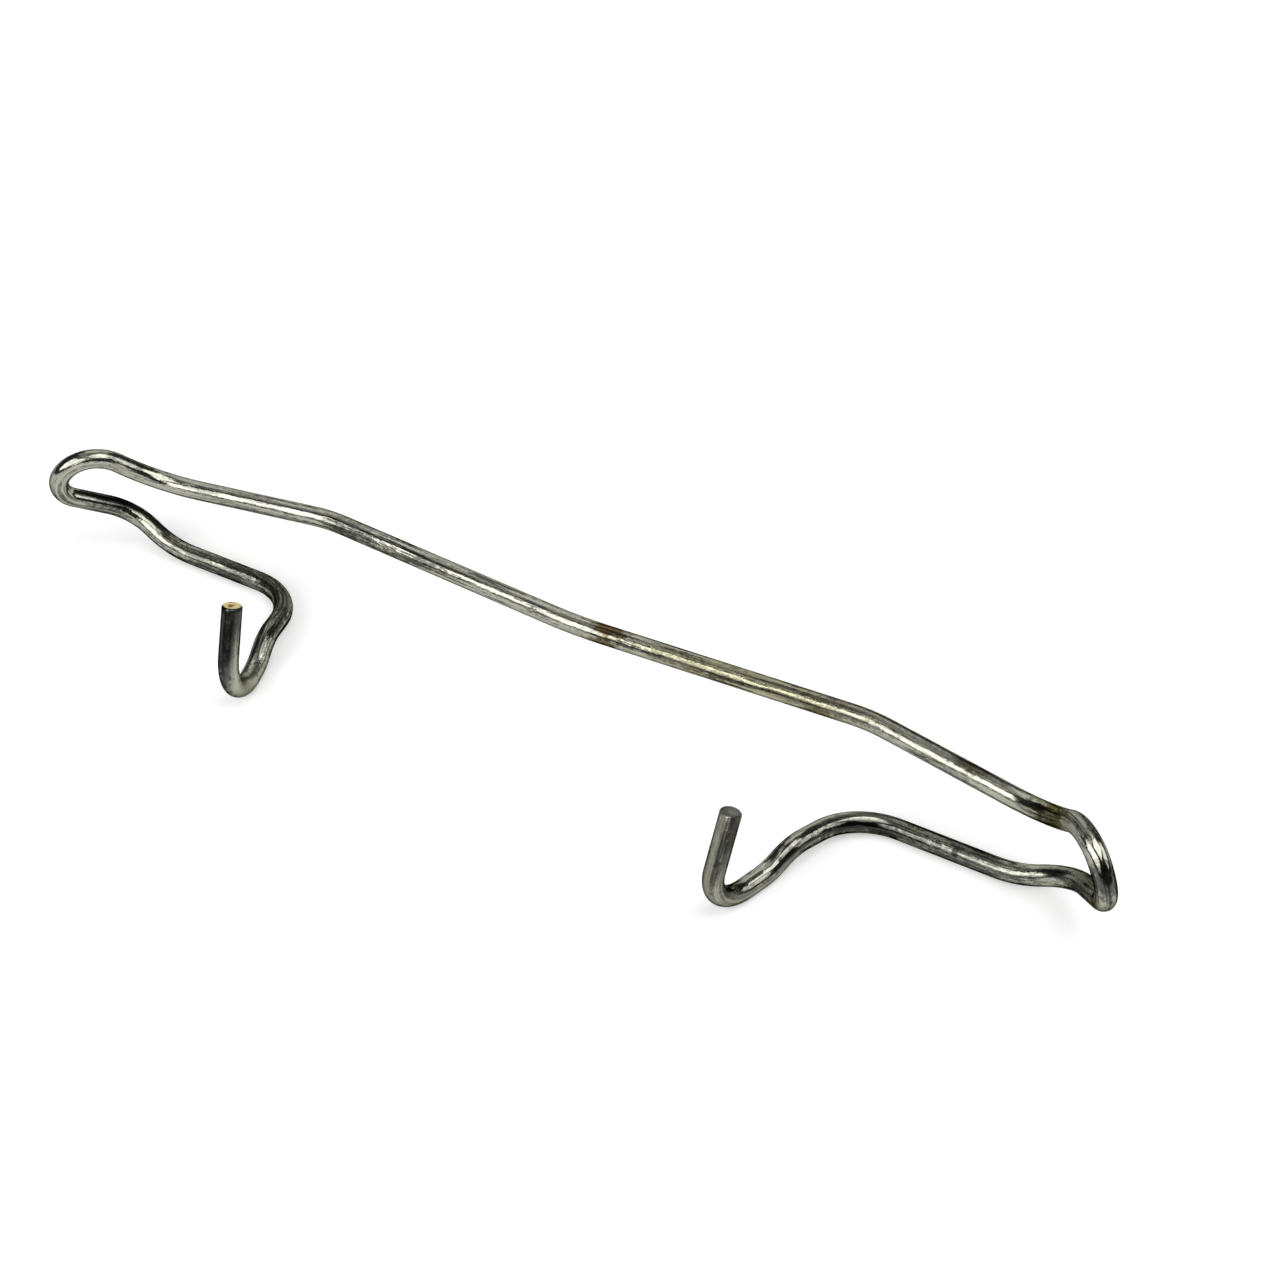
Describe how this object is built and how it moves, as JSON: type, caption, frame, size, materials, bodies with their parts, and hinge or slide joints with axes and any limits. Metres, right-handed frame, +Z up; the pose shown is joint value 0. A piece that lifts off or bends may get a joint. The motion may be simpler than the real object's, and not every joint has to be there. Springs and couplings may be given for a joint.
{
  "type": "bent wire form",
  "caption": "Bent spring-wire clip with a long shallow bar, looped ends, low arms that turn forward and upright hooked legs that push into holes.",
  "frame": {"origin": "middle of the form's outline, on the surface that its arms lie on", "axes": "+X along the bar to the right, +Y to the back, +Z up"},
  "size_m": [0.173, 0.036, 0.0196],
  "materials": {
    "spring_wire": "drawn, with a dull patina"
  },
  "bodies": {
    "root": {"wire_form": "spring_wire"}
  },
  "joints": []
}
